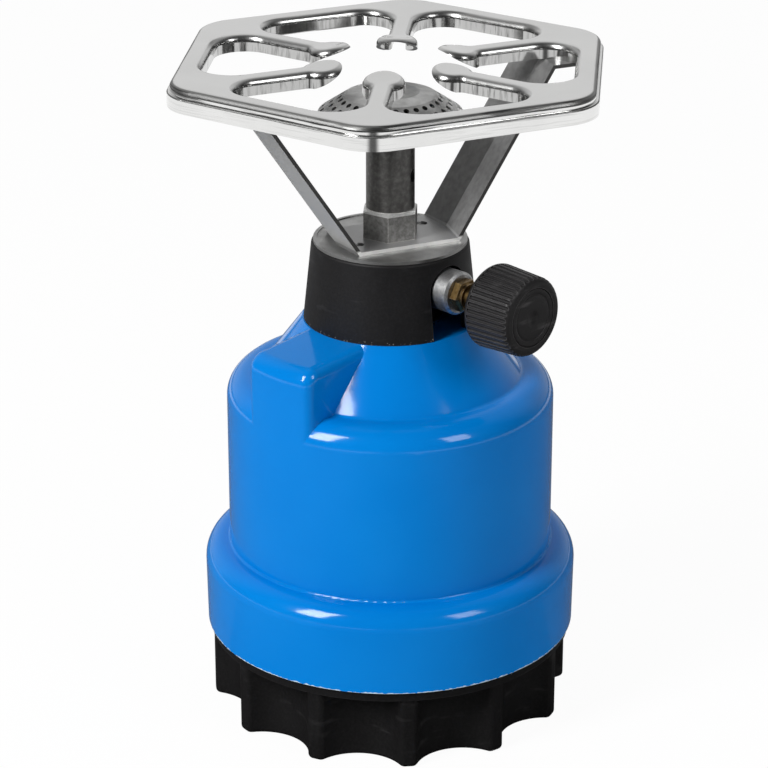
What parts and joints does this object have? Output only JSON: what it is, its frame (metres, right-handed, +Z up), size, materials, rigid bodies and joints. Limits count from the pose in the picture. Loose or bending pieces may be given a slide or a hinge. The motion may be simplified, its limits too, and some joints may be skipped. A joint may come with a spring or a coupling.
{
  "type": "portable gas stove",
  "caption": "Portable camping gas stove: lacquered cartridge housing on a screw-on base, side valve with a knob, tube burner and a fingered hexagonal pot support.",
  "frame": {"origin": "on the ground under the middle of the base", "axes": "+Z up, +X along the valve towards the knob, the housing's buttress towards -Y"},
  "size_m": [0.1342, 0.1284, 0.2031],
  "materials": {
    "blue_lacquer": "gloss",
    "base_plastic": "matte",
    "knob_plastic": "satin",
    "nickel_plate": "satin",
    "zinc_plate": "satin",
    "burner_steel": "satin",
    "burner_plate": "satin",
    "die_cast": "satin",
    "brass": "satin",
    "bronze_filter": "matte",
    "steel": "satin",
    "rubber": "matte",
    "tinplate": "satin"
  },
  "bodies": {
    "stove": {"housing": "blue_lacquer", "neck_collar": "base_plastic", "valve_body": "die_cast", "gland_nut": "brass", "top_dish": "nickel_plate", "locating_pegs": "zinc_plate", "support_bracket": "zinc_plate", "burner_tube": "burner_steel", "burner_cap": "burner_plate", "burner_cup": "burner_steel", "pot_support": "nickel_plate", "cartridge_seal": "rubber", "piercing_needle": "steel", "valve_locknut": "steel", "lock_washer": "steel", "stem_packing": "rubber", "gas_jet": "brass", "jet_filter": "bronze_filter"},
    "cartridge": {"cartridge_shell": "tinplate", "cartridge_bottom": "tinplate"},
    "base": {"base_cap": "base_plastic"},
    "stem_slide": {"stem_o_ring": "rubber"},
    "knob": {"valve_stem": "brass", "valve_knob": "knob_plastic", "knob_cap": "knob_plastic", "knob_screw": "steel"}
  },
  "joints": [
    {"name": "base_drop", "type": "slide", "parent": "stove", "child": "cartridge", "axis": [0, 0, -1], "range_m": [0, 0.01201]},
    {"name": "base_turn", "type": "hinge", "parent": "cartridge", "child": "base", "pos_m": [0, 0, 0], "axis": [0, 0, -1], "range_deg": [0, 1080]},
    {"name": "stem_travel", "type": "slide", "parent": "stove", "child": "stem_slide", "axis": [1, 0, 0], "range_m": [0, 0.0022]},
    {"name": "valve_turn", "type": "hinge", "parent": "stem_slide", "child": "knob", "pos_m": [0.05, 0, 0.137], "axis": [1, 0, 0], "range_deg": [0, 720]}
  ],
  "couplings": [
    {"joint": "base_drop", "follows": "base_turn", "m_per_rad": 0.00063662},
    {"joint": "stem_travel", "follows": "valve_turn", "m_per_rad": 0.00015915}
  ]
}
